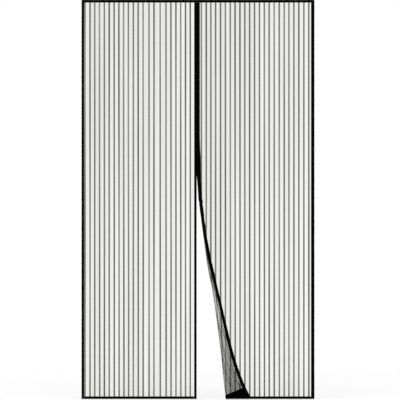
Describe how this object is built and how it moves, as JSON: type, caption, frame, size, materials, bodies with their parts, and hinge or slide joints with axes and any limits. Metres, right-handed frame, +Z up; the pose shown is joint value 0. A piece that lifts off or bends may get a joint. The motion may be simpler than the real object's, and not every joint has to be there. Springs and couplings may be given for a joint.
{
  "type": "magnetic insect screen",
  "caption": "Doorway insect screen: two see-through striped net panels edged with black tape, closed by hidden magnets, one lower corner turned back.",
  "frame": {"origin": "middle of the top hook tape's back face, where the screen fixes to the head of the door frame", "axes": "+Z up along the height, +X across to the right as seen from the front, the front faces -Y"},
  "size_m": [1.4, 0.124, 2.4],
  "materials": {
    "net": "fine polyester net with denser woven stripes",
    "woven_tape": "matte black woven edging tape",
    "hem_tape": "matte black woven hem tape",
    "patch_cloth": "matte black woven cloth",
    "hook_tape": "black nylon hook tape",
    "magnet_rubber": "matte flexible magnet",
    "weight_steel": "plain flat bar"
  },
  "bodies": {
    "root": {"net_left": "net", "net_right": "net", "tape_top": "woven_tape", "tape_outer_left": "woven_tape", "tape_outer_right": "woven_tape", "tape_inner_left": "woven_tape", "tape_inner_right": "woven_tape", "hem_left": "hem_tape", "hem_right": "hem_tape", "hem_weight_left": "weight_steel", "hem_weight_right": "weight_steel", "corner_patch": "patch_cloth", "hook_tape_top": "hook_tape", "hook_tape_left": "hook_tape", "hook_tape_right": "hook_tape", "magnet_left_01": "magnet_rubber", "magnet_left_02": "magnet_rubber", "magnet_left_03": "magnet_rubber", "magnet_left_04": "magnet_rubber", "magnet_left_05": "magnet_rubber", "magnet_left_06": "magnet_rubber", "magnet_left_07": "magnet_rubber", "magnet_left_08": "magnet_rubber", "magnet_left_09": "magnet_rubber", "magnet_left_10": "magnet_rubber", "magnet_left_11": "magnet_rubber", "magnet_left_12": "magnet_rubber", "magnet_left_13": "magnet_rubber", "magnet_left_14": "magnet_rubber", "magnet_left_15": "magnet_rubber", "magnet_left_16": "magnet_rubber", "magnet_right_01": "magnet_rubber", "magnet_right_02": "magnet_rubber", "magnet_right_03": "magnet_rubber", "magnet_right_04": "magnet_rubber", "magnet_right_05": "magnet_rubber", "magnet_right_06": "magnet_rubber", "magnet_right_07": "magnet_rubber", "magnet_right_08": "magnet_rubber", "magnet_right_09": "magnet_rubber", "magnet_right_10": "magnet_rubber", "magnet_right_11": "magnet_rubber", "magnet_right_12": "magnet_rubber", "magnet_right_13": "magnet_rubber", "magnet_right_14": "magnet_rubber", "magnet_right_15": "magnet_rubber", "magnet_right_16": "magnet_rubber"}
  },
  "joints": []
}
